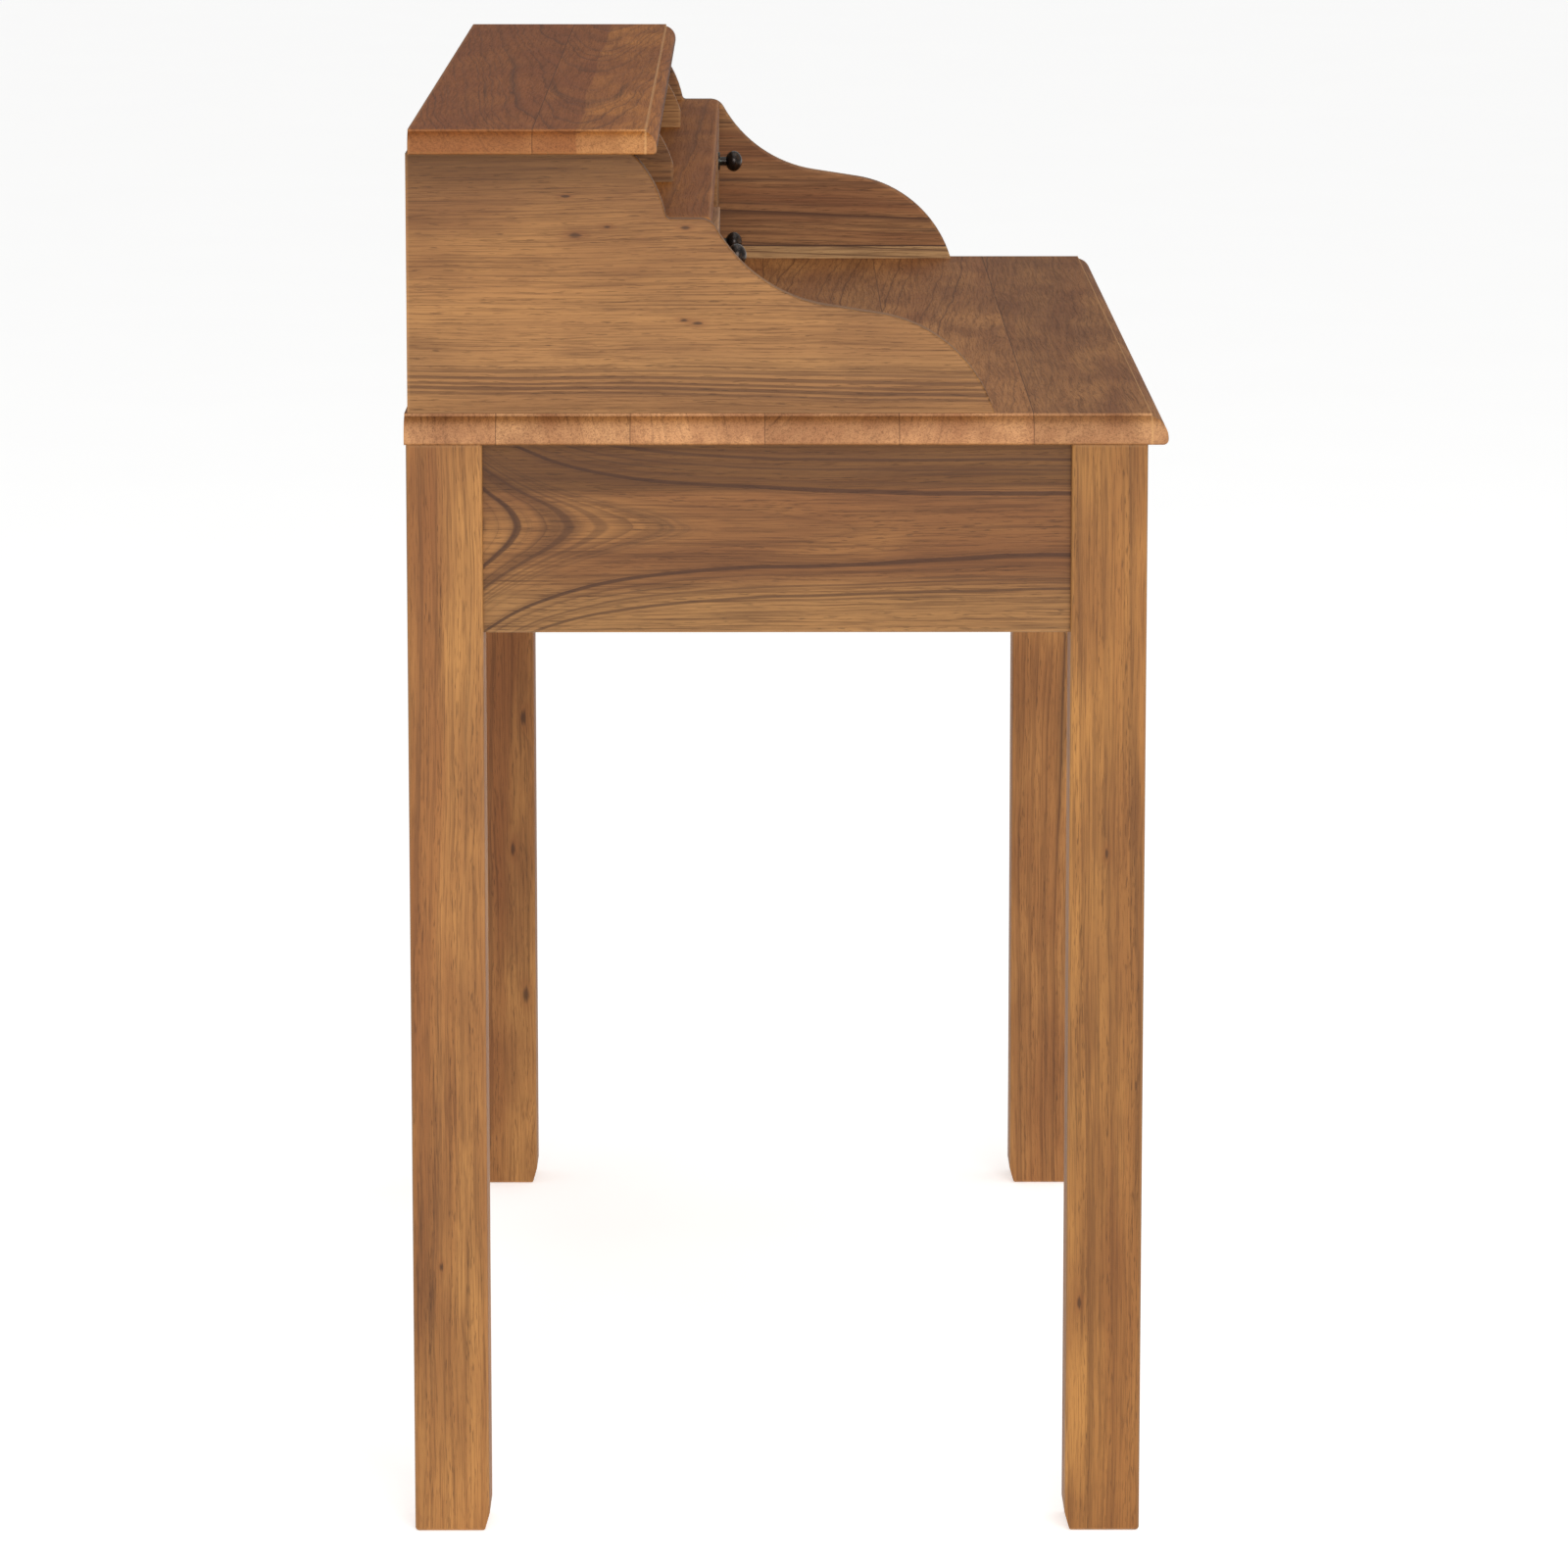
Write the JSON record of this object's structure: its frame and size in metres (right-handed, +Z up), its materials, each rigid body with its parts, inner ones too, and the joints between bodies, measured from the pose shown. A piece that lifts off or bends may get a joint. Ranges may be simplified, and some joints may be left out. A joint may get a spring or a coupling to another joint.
{
  "type": "secretary desk",
  "caption": "Wooden writing desk on square legs with wide drawers under the top and a scroll-sided hutch with pigeonholes, an open bay and small knobbed drawers.",
  "frame": {"origin": "on the floor under the middle of the desk's footprint", "axes": "+X to the right of someone sitting at the desk, +Y to the back, +Z up"},
  "size_m": [1.1, 0.5, 0.94],
  "materials": {
    "teak_top": "oiled satin",
    "teak_frame": "oiled satin",
    "teak_panel": "oiled satin",
    "teak_front": "oiled satin",
    "teak_inner": "raw planed",
    "plywood": "raw sanded",
    "beech": "raw",
    "knob_bronze": "dark antique patina",
    "screw_steel": "zinc plated"
  },
  "bodies": {
    "desk_frame": {"desktop": "teak_top", "leg_front_left": "teak_frame", "leg_front_right": "teak_frame", "leg_back_left": "teak_frame", "leg_back_right": "teak_frame", "apron_left": "teak_frame", "apron_right": "teak_frame", "apron_back": "teak_frame", "rail_lower": "teak_frame", "rail_upper": "teak_frame", "drawer_stile": "teak_frame", "runner_left": "teak_inner", "runner_middle": "teak_inner", "runner_right": "teak_inner", "kickers": "teak_inner", "desktop_screws": "screw_steel", "hutch_side_left": "teak_panel", "hutch_side_right": "teak_panel", "hutch_top": "teak_top", "hutch_shelf": "teak_panel", "hutch_back": "plywood", "hutch_partition_left": "teak_panel", "hutch_partition_right": "teak_panel", "hutch_rail_left": "teak_panel", "hutch_rail_right": "teak_panel", "hutch_divider_left": "teak_panel", "hutch_divider_right": "teak_panel", "dowels": "beech"},
    "drawer_small_lower_left": {"small_lower_left_front": "teak_front", "small_lower_left_sides": "teak_inner", "small_lower_left_back": "teak_inner", "small_lower_left_bottom": "plywood", "small_lower_left_knob": "knob_bronze"},
    "drawer_small_lower_right": {"small_lower_right_front": "teak_front", "small_lower_right_sides": "teak_inner", "small_lower_right_back": "teak_inner", "small_lower_right_bottom": "plywood", "small_lower_right_knob": "knob_bronze"},
    "drawer_small_upper_left": {"small_upper_left_front": "teak_front", "small_upper_left_sides": "teak_inner", "small_upper_left_back": "teak_inner", "small_upper_left_bottom": "plywood", "small_upper_left_knob": "knob_bronze"},
    "drawer_small_upper_right": {"small_upper_right_front": "teak_front", "small_upper_right_sides": "teak_inner", "small_upper_right_back": "teak_inner", "small_upper_right_bottom": "plywood", "small_upper_right_knob": "knob_bronze"},
    "drawer_wide_left": {"wide_left_front": "teak_front", "wide_left_sides": "teak_inner", "wide_left_back": "teak_inner", "wide_left_bottom": "plywood", "wide_left_knob": "knob_bronze"},
    "drawer_wide_right": {"wide_right_front": "teak_front", "wide_right_sides": "teak_inner", "wide_right_back": "teak_inner", "wide_right_bottom": "plywood", "wide_right_knob": "knob_bronze"}
  },
  "joints": [
    {"name": "small_lower_left_slide", "type": "slide", "parent": "desk_frame", "child": "drawer_small_lower_left", "axis": [0, -1, 0], "range_m": [0, 0.12]},
    {"name": "small_lower_right_slide", "type": "slide", "parent": "desk_frame", "child": "drawer_small_lower_right", "axis": [0, -1, 0], "range_m": [0, 0.12]},
    {"name": "small_upper_left_slide", "type": "slide", "parent": "desk_frame", "child": "drawer_small_upper_left", "axis": [0, -1, 0], "range_m": [-0.0045, 0.12]},
    {"name": "small_upper_right_slide", "type": "slide", "parent": "desk_frame", "child": "drawer_small_upper_right", "axis": [0, -1, 0], "range_m": [0, 0.12]},
    {"name": "wide_left_slide", "type": "slide", "parent": "desk_frame", "child": "drawer_wide_left", "axis": [0, -1, 0], "range_m": [0, 0.3]},
    {"name": "wide_right_slide", "type": "slide", "parent": "desk_frame", "child": "drawer_wide_right", "axis": [0, -1, 0], "range_m": [0, 0.3]}
  ]
}
